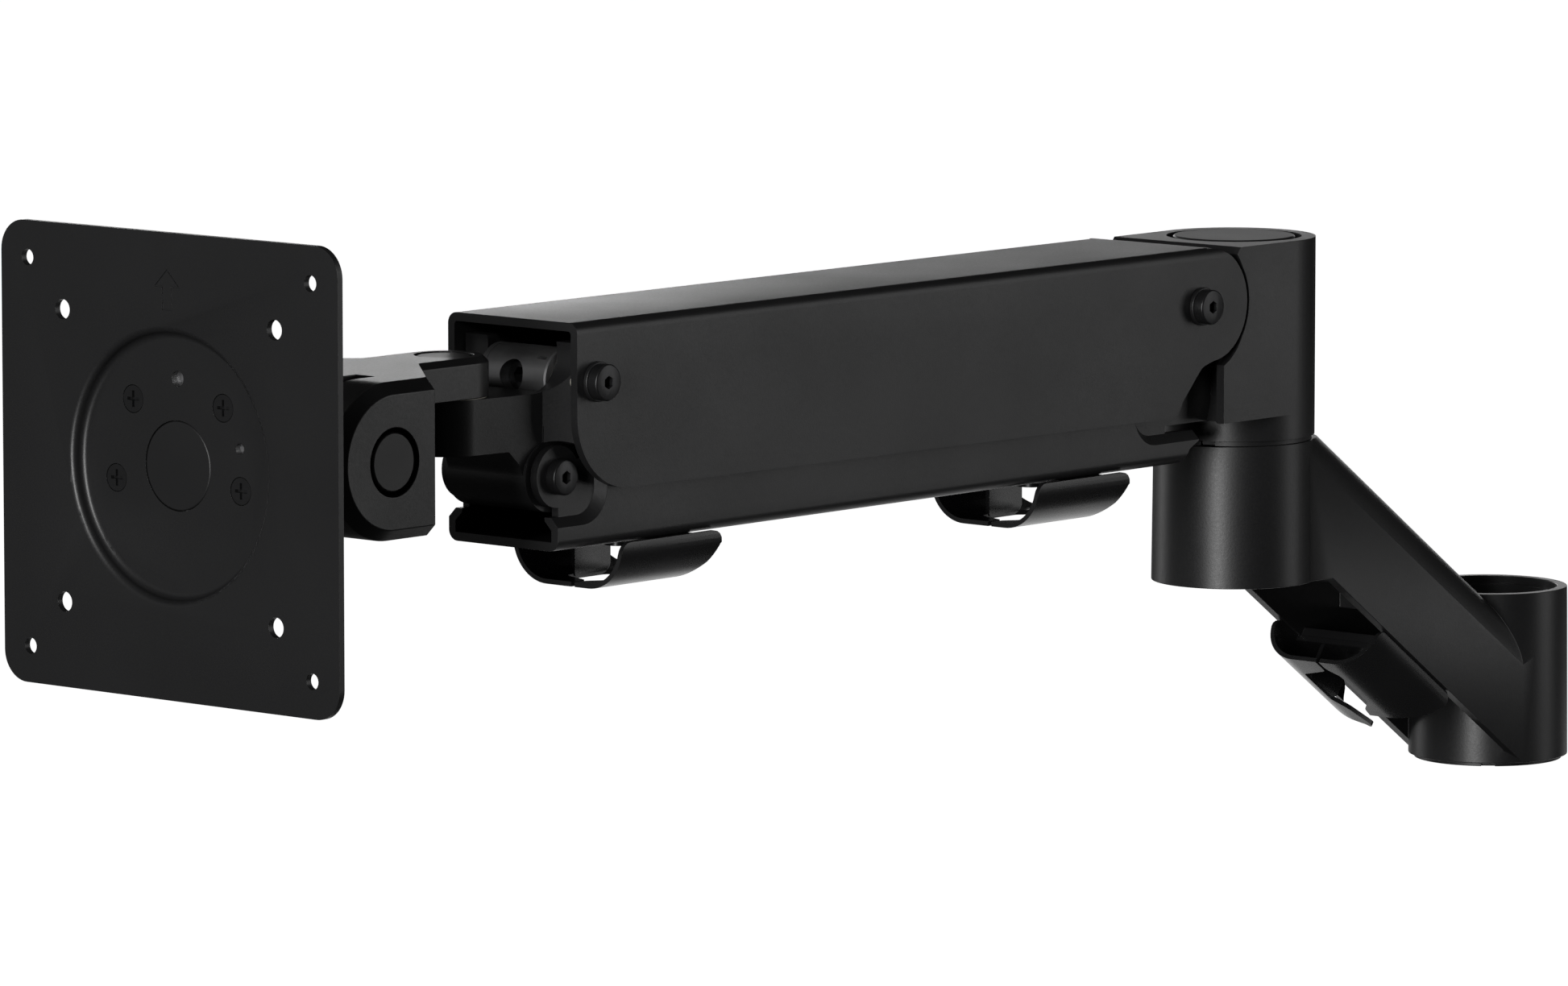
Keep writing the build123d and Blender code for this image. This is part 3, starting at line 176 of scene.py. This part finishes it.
def moulded_plastic(name, dark, light, roughness, grain=0.0004, depth=0.00002):
    """Moulded black plastic: a spark-eroded grain, finer and more even than the paint."""
    recipe = Recipe(name)
    spark = recipe.noise(grain, 2.0, 0.6)
    flow = recipe.noise(0.02, 2.0, 0.5, stretch=(1.0, 0.35, 1.0))
    shade = recipe.blend(flow, dark, light)
    satin = (roughness + (flow - 0.5) * 0.08 + (spark - 0.5) * 0.08).clamped(0.15, 0.9)
    return recipe.finish(Base_Color=shade, Roughness=satin, Normal=recipe.bump(spark, 0.25, depth))


def worked_steel(name, dark, light, roughness, metallic=1.0, stretch=(1.0, 0.08, 1.0)):
    """Plated or oxidised steel with faint turning marks and handling haze."""
    recipe = Recipe(name)
    marks = recipe.noise(0.0003, 2.0, 0.6, stretch=stretch)
    haze = recipe.noise(0.006, 3.0)
    shade = recipe.blend((haze * 0.7 + marks * 0.3).clamped(0.0, 1.0), dark, light)
    satin = (roughness + (haze - 0.5) * 0.18 + (marks - 0.5) * 0.10).clamped(0.08, 0.9)
    return recipe.finish(Base_Color=shade, Roughness=satin, Metallic=metallic,
                         Normal=recipe.bump(marks, 0.15, 0.00001))


def natural_nylon(name):
    """Cream bearing nylon, waxy, with a faint flow pattern."""
    recipe = Recipe(name)
    flow = recipe.noise(0.008, 3.0)
    shade = recipe.blend(flow, (0.58, 0.55, 0.47), (0.74, 0.71, 0.63))
    satin = (0.42 + (flow - 0.5) * 0.15).clamped(0.2, 0.8)
    return recipe.finish(Base_Color=shade, Roughness=satin, Normal=recipe.bump(flow, 0.1, 0.00005))


FINISHES = {
    "painted_casting": powder_coat("casting_powder_coat",
                                   (0.0065, 0.0065, 0.0068), (0.0105, 0.0105, 0.011), 0.40),
    "painted_sheet": powder_coat("sheet_powder_coat",
                                 (0.0065, 0.0065, 0.0068), (0.0102, 0.0102, 0.0106), 0.42, 0.0006),
    "painted_tube": powder_coat("spring_tube_enamel",
                                (0.02, 0.02, 0.021), (0.03, 0.03, 0.031), 0.28, 0.0012),
    "black_plastic": moulded_plastic("cap_plastic",
                                     (0.0060, 0.0060, 0.0063), (0.0095, 0.0095, 0.0099), 0.44),
    "clip_plastic": moulded_plastic("clip_plastic",
                                    (0.0070, 0.0070, 0.0073), (0.0108, 0.0108, 0.0112), 0.28),
    "pale_nylon": natural_nylon("bearing_nylon"),
    "black_steel": worked_steel("black_oxide_steel",
                                (0.012, 0.012, 0.0125), (0.026, 0.026, 0.027), 0.34, 0.6),
    "grey_steel": worked_steel("phosphated_steel", (0.26, 0.26, 0.264), (0.38, 0.38, 0.386), 0.40, 0.9),
    "bare_steel": worked_steel("zinc_plated_steel", (0.42, 0.42, 0.43), (0.60, 0.60, 0.61), 0.34),
    "chromed_rod": worked_steel("ground_chrome", (0.70, 0.70, 0.71), (0.82, 0.82, 0.83), 0.10),
    "bare_aluminium": worked_steel("turned_aluminium", (0.50, 0.50, 0.51), (0.64, 0.64, 0.65), 0.32),
}


# ---- Mesh helpers ----
def deselect():
    for item in bpy.context.selected_objects:
        item.select_set(False)


def only(piece):
    """Makes one object the selected and active one."""
    deselect()
    piece.select_set(True)
    bpy.context.view_layer.objects.active = piece
    return piece


def applied(piece, kind, **settings):
    """Adds a modifier and applies it."""
    only(piece)
    modifier = piece.modifiers.new(kind, kind)
    for key, value in settings.items():
        setattr(modifier, key, value)
    bpy.ops.object.modifier_apply(modifier=modifier.name)
    return piece


def cut(piece, cutter):
    """Takes one shape out of another and removes the cutter."""
    applied(piece, "BOOLEAN", operation="DIFFERENCE", object=cutter, solver="EXACT")
    bpy.data.objects.remove(cutter)
    return piece


def fused(piece, other):
    """Makes two touching shapes one closed shape."""
    applied(piece, "BOOLEAN", operation="UNION", object=other, solver="EXACT")
    bpy.data.objects.remove(other)
    return piece


def gathered(pieces):
    """Joins separate shapes into one object."""
    only(pieces[0])
    for piece in pieces[1:]:
        piece.select_set(True)
    bpy.ops.object.join()
    return pieces[0]


def pick_level(axis, level):
    """In edit mode, selects only the edges that lie at one level along an axis."""
    bpy.ops.mesh.select_mode(type="EDGE")
    bpy.ops.mesh.select_all(action="DESELECT")
    index = "XYZ".index(axis)
    mesh = bpy.context.edit_object.data
    shape = bmesh.from_edit_mesh(mesh)
    for edge in shape.edges:
        edge.select_set(all(abs(vertex.co[index] - level) < SAME_PLACE for vertex in edge.verts))
    shape.select_flush_mode()
    bmesh.update_edit_mesh(mesh)


def bar(x_low, x_high, y_low, y_high, z_low, z_high):
    """A block between two corners."""
    bpy.ops.mesh.primitive_cube_add(size=1.0, location=((x_low + x_high) / 2, (y_low + y_high) / 2,
                                                        (z_low + z_high) / 2))
    block = bpy.context.object
    block.scale = (x_high - x_low, y_high - y_low, z_high - z_low)
    bpy.ops.object.transform_apply(location=True, rotation=True, scale=True)
    return block


TURN_TO = {"X": (0.0, pi / 2, 0.0), "Y": (-pi / 2, 0.0, 0.0), "Z": (0.0, 0.0, 0.0)}


def round_bar(axis, radius, start, finish, place, sides=64):
    """A round or hexagonal bar along X, Y or Z, from start to finish, through a place across that axis."""
    middle = (start + finish) / 2
    centre = {"X": (middle, *place), "Y": (place[0], middle, place[1]), "Z": (*place, middle)}[axis]
    deselect()
    bpy.ops.mesh.primitive_cylinder_add(vertices=sides, radius=radius, depth=abs(finish - start),
                                        location=centre, rotation=TURN_TO[axis])
    shape = bpy.context.object
    bpy.ops.object.transform_apply(location=True, rotation=True, scale=True)
    return shape


PLACED = {
    "X": lambda a, b, along: (along, a, b),
    "Y": lambda a, b, along: (a, along, b),
    "Z": lambda a, b, along: (a, b, along),
}


def prism(axis, points, low, high, rounding=0.0):
    """An outline across X, Y or Z, its points in order, given length along that axis and rounded corners."""
    deselect()
    bpy.ops.mesh.primitive_circle_add(vertices=len(points), fill_type="NGON")
    shape = bpy.context.object
    for vertex, point in zip(shape.data.vertices, points):
        vertex.co = PLACED[axis](*point, low)
    only(shape)
    bpy.ops.object.mode_set(mode="EDIT")
    bpy.ops.mesh.select_all(action="SELECT")
    if rounding:
        bpy.ops.mesh.bevel(offset=rounding, segments=5, affect="VERTICES")
        bpy.ops.mesh.select_all(action="SELECT")
    step = PLACED[axis](0.0, 0.0, high - low)
    bpy.ops.mesh.extrude_region_move(TRANSFORM_OT_translate={"value": step})
    bpy.ops.mesh.select_all(action="SELECT")
    bpy.ops.mesh.normals_make_consistent(inside=False)
    bpy.ops.object.mode_set(mode="OBJECT")
    return shape


def hexagon(axis, flat_radius, start, finish, place):
    """A hexagonal bar, sized across its flats."""
    return round_bar(axis, flat_radius / cos(pi / 6), start, finish, place, sides=6)


def rim_softened(piece, axis, level, width, segments=6):
    """Rounds the edge loops of a turned shape that lie at one level along its axis."""
    only(piece)
    bpy.ops.object.mode_set(mode="EDIT")
    pick_level(axis, level)
    bpy.ops.mesh.bevel(offset=width, segments=segments, profile=0.5)
    bpy.ops.object.mode_set(mode="OBJECT")
    return piece


def softened(piece, width, segments=2, sharp=30.0):
    """Breaks the sharp edges of a finished shape and keeps its flat faces flat."""
    only(piece)
    bpy.ops.object.shade_smooth_by_angle(angle=radians(sharp))
    return applied(piece, "BEVEL", width=width, segments=segments, limit_method="ANGLE",
                   angle_limit=radians(sharp), use_clamp_overlap=True, harden_normals=True,
                   miter_outer="MITER_ARC")


def settled(piece, name, node):
    """Names a finished piece and gives it the finish, body and place of the node that it stands for."""
    only(piece)
    bpy.ops.object.transform_apply(location=True, rotation=True, scale=True)
    piece.name = name
    piece.data.name = name
    piece.data.materials.clear()
    piece.data.materials.append(FINISHES[SLOT_OF[node]])
    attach(piece, BODY_OF[node])
    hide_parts(node)
    return piece


def eased(node, width, segments=2, sharp=28.0):
    """A merged copy of a CAD node whose edges are broken, as paint and tumbling leave them."""
    mesh = NODES[node].data.copy()
    mesh.materials.clear()
    piece = bpy.data.objects.new(node, mesh)
    bpy.context.scene.collection.objects.link(piece)
    only(piece)
    bpy.ops.object.mode_set(mode="EDIT")
    bpy.ops.mesh.select_all(action="SELECT")
    bpy.ops.mesh.customdata_custom_splitnormals_clear()
    bpy.ops.mesh.remove_doubles(threshold=0.001 * MM)
    bpy.ops.mesh.dissolve_limited(angle_limit=radians(0.6))
    bpy.ops.object.mode_set(mode="OBJECT")
    return settled(softened(piece, width, segments, sharp), node + "_finished", node)


# ---- CAD nodes that keep their shape ----
for node, item in NODES.items():
    item.data.materials.clear()
    item.data.materials.append(FINISHES[SLOT_OF[node]])

EDGE_BREAKS = {
    "link_casting": 0.5 * MM,
    "pole_liner": 0.2 * MM,
    "swivel_bushing_upper": 0.2 * MM,
    "base_housing": 0.45 * MM,
    "base_cap": 0.2 * MM,
    "upper_channel": 0.35 * MM,
    "lower_channel": 0.4 * MM,
    "tension_barrel": 0.15 * MM,
    "end_bracket": 0.7 * MM,
    "yoke_casting": 0.5 * MM,
    "pan_cap": 0.15 * MM,
    "tilt_caps": 0.15 * MM,
    "tilt_bracket": 0.4 * MM,
    "rotation_disc": 0.2 * MM,
    "vesa_plate": 0.3 * MM,
    "centre_cap": 0.12 * MM,
}
for node, width in EDGE_BREAKS.items():
    eased(node, width)


# ---- Cable clips ----
CLIP_LENGTH = 39.5 * MM
CLIP_HALF_WIDTH = 19.5 * MM
CLIP_HEIGHT = 13.0 * MM
CLIP_BEND = 12.0 * MM
CLIP_WALL = 1.3 * MM
JAW_FLOOR = 9.0 * MM
LIP_ROUNDING = 1.0 * MM
SADDLE_REAR = -29.0 * MM
SADDLE_FRONT = -11.0 * MM
SADDLE_INSET = 0.6 * MM
SADDLE_THICKNESS = 1.6 * MM
SCREW_HOLE = 2.0 * MM
TAB_FAR_FACE = -9.6 * MM
TAB_NEAR_FACE = -8.3 * MM
TAB_ROUNDING = 0.8 * MM
CLIP_EDGE = 0.3 * MM
PAST_SIDES = 30.0 * MM
PAST_FLOOR = -20.0 * MM
ABOVE_FLOOR = -9.0 * MM
ABOVE_BEND = -6.0 * MM
LINK_SLOPE = radians(35.0)
NEAR_LIP = [(1.0, 2.6), (-4.0, 2.6), (-8.0, 5.6), (-23.0, 5.6), (-28.0, 1.4), (-41.0, -0.6), (-41.0, -16.0),
            (1.0, -16.0)]
FAR_LIP = [(1.0, 1.4), (-5.5, 1.4), (-9.0, -8.6), (-24.0, -8.6), (-29.0, -5.4), (-38.6, -2.6), (-41.0, -5.0),
           (-41.0, 16.0), (1.0, 16.0)]
FAR_TAIL = [(-41.0, -22.0), (-30.5, -22.0), (-32.5, -15.0), (-38.4, -5.0), (-41.0, -3.0)]
HANGING_TAB = [(-26.0, -0.8), (-26.0, -10.5), (-24.0, -12.4), (-12.0, -12.4), (-12.0, -0.8)]
TOP_CORNER = [(1.0, 1.0), (-3.2, 1.0), (-3.2, 0.0), (-2.0, -0.25), (-0.95, -0.95), (-0.25, -2.0),
              (0.0, -3.2), (1.0, -3.2)]
REAR_CORNER = [(-41.0, -15.0), (-30.0, -15.0), (-32.4, -12.4), (-36.4, -8.6), (-39.2, -3.6), (-41.0, -2.4)]


def in_metres(points):
    """Outline points, written in millimetres, in the frame's metres."""
    return [(a * MM, b * MM) for a, b in points]


def clip_jaw(side, lip):
    """One jaw, bent up from a strip and trimmed to its lip; side is +1 or -1."""
    wall = side * (CLIP_HALF_WIDTH - CLIP_WALL / 2)
    fold = CLIP_BEND - CLIP_WALL / 2
    floor = CLIP_WALL / 2 - CLIP_HEIGHT
    deselect()
    bpy.ops.mesh.primitive_plane_add(size=1.0)
    jaw = bpy.context.object
    corners = [(0.0, wall, 0.0), (-CLIP_LENGTH, wall, 0.0), (0.0, wall, floor + fold),
               (-CLIP_LENGTH, wall, floor + fold)]
    for vertex, corner in zip(jaw.data.vertices, corners):
        vertex.co = corner
    bpy.ops.object.mode_set(mode="EDIT")
    pick_level("Z", floor + fold)
    bpy.ops.mesh.spin(steps=16, angle=side * pi / 2, center=(0.0, wall - side * fold, floor + fold),
                      axis=(1.0, 0.0, 0.0))
    pick_level("Z", floor)
    step = (0.0, -side * JAW_FLOOR, 0.0)
    bpy.ops.mesh.extrude_edges_move(TRANSFORM_OT_translate={"value": step})
    bpy.ops.mesh.select_all(action="SELECT")
    bpy.ops.mesh.remove_doubles(threshold=0.01 * MM)
    bpy.ops.mesh.normals_make_consistent(inside=False)
    bpy.ops.object.mode_set(mode="OBJECT")
    applied(jaw, "SOLIDIFY", thickness=CLIP_WALL, offset=0.0, use_even_offset=True)
    cut(jaw, prism("Z", in_metres(lip), PAST_FLOOR, ABOVE_FLOOR, rounding=LIP_ROUNDING))
    front = in_metres(TOP_CORNER)
    rear = [(-CLIP_LENGTH - x, z) for x, z in front]
    for corner in (front, rear):
        cut(jaw, prism("Y", corner, -PAST_SIDES, PAST_SIDES))
    if side > 0:
        return cut(jaw, prism("Y", in_metres(REAR_CORNER), -PAST_SIDES, PAST_SIDES))
    return cut(jaw, prism("Z", in_metres(FAR_TAIL), PAST_FLOOR, ABOVE_BEND))


def clip_shape():
    """The clip lying level: front end at x=0, top face at z=0."""
    half = CLIP_HALF_WIDTH - SADDLE_INSET
    clip = bar(SADDLE_REAR, SADDLE_FRONT, -half, half, -SADDLE_THICKNESS, 0.0)
    cut(clip, round_bar("Z", SCREW_HOLE, -3.0 * MM, 1.0 * MM, (-CLIP_LENGTH / 2, 0.0)))
    fused(clip, clip_jaw(1, NEAR_LIP))
    fused(clip, clip_jaw(-1, FAR_LIP))
    fused(clip, prism("Y", in_metres(HANGING_TAB), TAB_FAR_FACE, TAB_NEAR_FACE, rounding=TAB_ROUNDING))
    return softened(clip, CLIP_EDGE, segments=2, sharp=35.0)


def placed_clip(node, place, slope):
    """A clip whose front top edge is at a place, front end turned up by the slope."""
    clip = clip_shape()
    clip.rotation_euler = (0.0, -slope, 0.0)
    clip.location = place
    settled(clip, node + "_shape", node)


for node in ("front_cable_clip", "rear_cable_clip"):
    low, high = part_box(node)
    placed_clip(node, Vector((high.x, 0.0, high.z)), 0.0)
low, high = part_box("link_cable_clip")
placed_clip("link_cable_clip", Vector((high.x - CLIP_HEIGHT * sin(LINK_SLOPE), 0.0, high.z)), LINK_SLOPE)


# ---- Pivot screws ----
SCREW_SHANK = 2.45 * MM
SCREW_SOCKET = 1.5 * MM
SOCKET_DEPTH = 1.9 * MM
HEAD_ROUNDING = 0.5 * MM
HEAD_EDGE = 0.12 * MM
HEAD_OVERLAP = 0.2 * MM
WASHER_RIM = 0.3 * MM


def low_head_screw(side, place, seat, head_height, head_radius, shank_end):
    """A flat-headed socket screw along Y; seat and shank_end are distances from the middle plane."""
    top = seat + head_height
    screw = round_bar("Y", head_radius, side * seat, side * top, place)
    rim_softened(screw, "Y", side * top, HEAD_ROUNDING, segments=3)
    cut(screw, hexagon("Y", SCREW_SOCKET, side * (top - SOCKET_DEPTH), side * (top + MM), place))
    shank = round_bar("Y", SCREW_SHANK, side * shank_end, side * (seat + HEAD_OVERLAP), place)
    return softened(fused(screw, shank), HEAD_EDGE)


def screw_set(node, head_height, head_radius, shank_length):
    """Four screws, one on each side of each pivot in a CAD node's box."""
    low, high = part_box(node)
    seat = high.y - head_height
    level = (low.z + high.z) / 2
    screws = []
    for x in (low.x + head_radius, high.x - head_radius):
        for side in (-1, 1):
            screws.append(low_head_screw(side, (x, level), seat, head_height, head_radius,
                                         seat - shank_length))
    settled(gathered(screws), node + "_turned", node)


def washer_set(node, thickness, radius, hole):
    """Four flat washers with tumbled rims."""
    low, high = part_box(node)
    level = (low.z + high.z) / 2
    washers = []
    for x in (low.x + radius, high.x - radius):
        for side in (-1, 1):
            start, finish = side * (high.y - thickness), side * high.y
            disc = round_bar("Y", radius, start, finish, (x, level))
            cut(disc, round_bar("Y", hole, start - side * MM, finish + side * MM, (x, level)))
            washers.append(softened(disc, WASHER_RIM, segments=3))
    settled(gathered(washers), node + "_turned", node)


screw_set("upper_screws", 3.0 * MM, 4.875 * MM, 11.0 * MM)
screw_set("lower_screws", 3.0 * MM, 4.7 * MM, 10.0 * MM)
washer_set("upper_washers", 1.3 * MM, 5.3 * MM, 2.5 * MM)


# ---- Camera, floor and light ----
CAMERA_AZIMUTH = 131.437
CAMERA_ELEVATION = 7.033
CAMERA_DISTANCE = 2.8809
CAMERA_LENS = 242.5
CAMERA_AIM = (CAD_BOX[0] + CAD_BOX[1]) / 2
AIM_SHIFT = Vector((0.0213, -0.0250, 0.0045))
FLOOR_DROP = 0.62
AMBIENT = 0.022
SOFTBOXES = {
    # name: azimuth, elevation, distance, width, height, watts
    "overhead_softbox": (0, 88, 1.6, 1.6, 1.2, 0.6),
    "rear_softbox": (-34, 6, 2.0, 0.9, 0.34, 3.4),
    "rear_fill": (-50, 6, 2.0, 1.6, 0.34, 3.4),
    "near_strip": (109, 8, 2.2, 0.26, 1.6, 46.0),
    "rim_strip": (4, 8, 2.0, 0.4, 1.6, 6.0),
    "right_softbox": (224, 10, 2.2, 0.8, 1.6, 7.4),
    "left_softbox": (50, 10, 2.2, 0.8, 1.6, 0.95),
    "low_fill": (-66, -28, 0.9, 0.9, 0.5, 1.5),
}


def aimed(thing, place, target):
    """Puts a camera or lamp at a place, looking at a target."""
    thing.location = place
    thing.rotation_mode = "QUATERNION"
    thing.rotation_quaternion = (target - place).to_track_quat("-Z", "Y")
    bpy.context.scene.collection.objects.link(thing)


def around(azimuth, elevation, distance, centre):
    """The point that far from centre, seen from which the object shows that side."""
    a, e = radians(azimuth), radians(elevation)
    return centre + distance * Vector((sin(a) * cos(e), -cos(a) * cos(e), sin(e)))


def make_camera():
    """A long lens, set back along the arm's near front corner."""
    camera = bpy.data.objects.new("camera", bpy.data.cameras.new("camera"))
    camera.data.lens = CAMERA_LENS
    camera.data.clip_end = 60.0
    aim = CAMERA_AIM + AIM_SHIFT
    aimed(camera, around(CAMERA_AZIMUTH, CAMERA_ELEVATION, CAMERA_DISTANCE, aim), aim)
    bpy.context.scene.camera = camera


def soft_light(name, azimuth, elevation, distance, width, height, power):
    """A rectangular softbox that faces the arm's middle."""
    lamp = bpy.data.lights.new(name, "AREA")
    lamp.shape = "RECTANGLE"
    lamp.size = width
    lamp.size_y = height
    lamp.energy = power
    aimed(bpy.data.objects.new(name, lamp), around(azimuth, elevation, distance, CAMERA_AIM), CAMERA_AIM)


def make_stage():
    """A pale floor well below the arm, faint ambient light and the softboxes."""
    deselect()
    bpy.ops.mesh.primitive_plane_add(size=40.0, location=(0.0, 0.0, CAD_BOX[0].z - FLOOR_DROP))
    floor = bpy.context.object
    floor.name = "floor"
    recipe = Recipe("pale_floor")
    floor.data.materials.append(recipe.finish(Base_Color=(0.9, 0.9, 0.9, 1.0), Roughness=0.9,
                                              Emission_Color=(1.0, 1.0, 1.0, 1.0), Emission_Strength=1.0))
    floor.visible_glossy = False
    floor.visible_diffuse = False
    world = bpy.data.worlds.new("studio")
    world.use_nodes = True
    world.node_tree.nodes["Background"].inputs["Color"].default_value = (1.0, 1.0, 1.0, 1.0)
    world.node_tree.nodes["Background"].inputs["Strength"].default_value = AMBIENT
    bpy.context.scene.world = world
    for name, settings in SOFTBOXES.items():
        soft_light(name, *settings)


make_camera()
make_stage()
bpy.context.scene.view_settings.view_transform = "Standard"
bpy.context.scene.view_settings.look = "None"
